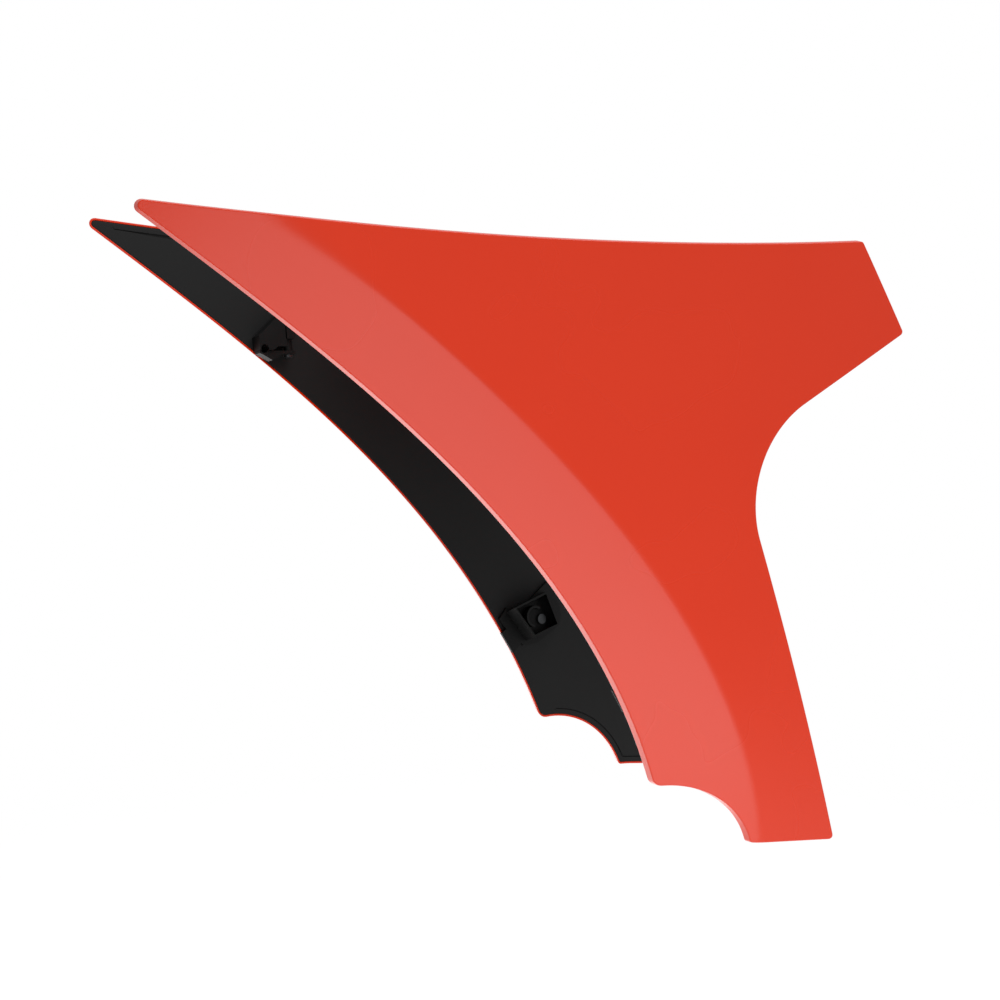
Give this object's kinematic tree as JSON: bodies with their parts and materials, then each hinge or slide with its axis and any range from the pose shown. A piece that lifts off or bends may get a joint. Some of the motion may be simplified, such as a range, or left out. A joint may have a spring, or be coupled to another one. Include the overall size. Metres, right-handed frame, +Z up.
{
  "type": "racing rear wing",
  "caption": "Racing kart rear wing: a mirrored pair of creased, curved end plates with black inner liners, a wing plane between them, swing-jaw rod clamps and lug sockets.",
  "frame": {"origin": "middle of the underside of the whole wing's box, between the toes of the two end plates", "axes": "+X towards the front of the kart, +Y to the driver's left, +Z up"},
  "size_m": [0.6996, 0.319, 0.6014],
  "materials": {
    "gloss_red": "glossy moulded red",
    "liner_black": "satin moulded black",
    "bracket_black": "satin moulded black",
    "core_foam": "closed-cell foam",
    "zinc_steel": "zinc plated",
    "spar_aluminium": "drawn tube"
  },
  "bodies": {
    "wing": {"left_outer_skin": "gloss_red", "left_inner_liner": "liner_black", "left_clamp_body": "bracket_black", "left_clamp_pivot_screw": "zinc_steel", "left_clamp_fixing_1": "zinc_steel", "left_clamp_fixing_2": "zinc_steel", "left_socket_foot": "bracket_black", "left_socket_box": "bracket_black", "left_socket_clip": "bracket_black", "left_socket_bolt": "zinc_steel", "left_foot_fixing_1": "zinc_steel", "left_foot_fixing_2": "zinc_steel", "left_plane_bracket": "bracket_black", "left_plane_fixing_1": "zinc_steel", "left_plane_fixing_2": "zinc_steel", "right_outer_skin": "gloss_red", "right_inner_liner": "liner_black", "right_clamp_body": "bracket_black", "right_clamp_pivot_screw": "zinc_steel", "right_clamp_fixing_1": "zinc_steel", "right_clamp_fixing_2": "zinc_steel", "right_socket_foot": "bracket_black", "right_socket_box": "bracket_black", "right_socket_clip": "bracket_black", "right_socket_bolt": "zinc_steel", "right_foot_fixing_1": "zinc_steel", "right_foot_fixing_2": "zinc_steel", "right_plane_bracket": "bracket_black", "right_plane_fixing_1": "zinc_steel", "right_plane_fixing_2": "zinc_steel", "plane_skin": "gloss_red", "plane_core": "core_foam", "spar_tube": "spar_aluminium", "trailing_lip": "liner_black"},
    "left_jaw": {"left_clamp_jaw": "bracket_black"},
    "right_jaw": {"right_clamp_jaw": "bracket_black"}
  },
  "joints": [
    {"name": "left_jaw_swing", "type": "hinge", "parent": "wing", "child": "left_jaw", "pos_m": [-0.16559, 0.12629, 0.47881], "axis": [-0.0165, 0.1715, 0.985], "range_deg": [0, 110]},
    {"name": "right_jaw_swing", "type": "hinge", "parent": "wing", "child": "right_jaw", "pos_m": [-0.16559, -0.12629, 0.47881], "axis": [0.0165, 0.1715, -0.985], "range_deg": [0, 110]}
  ]
}
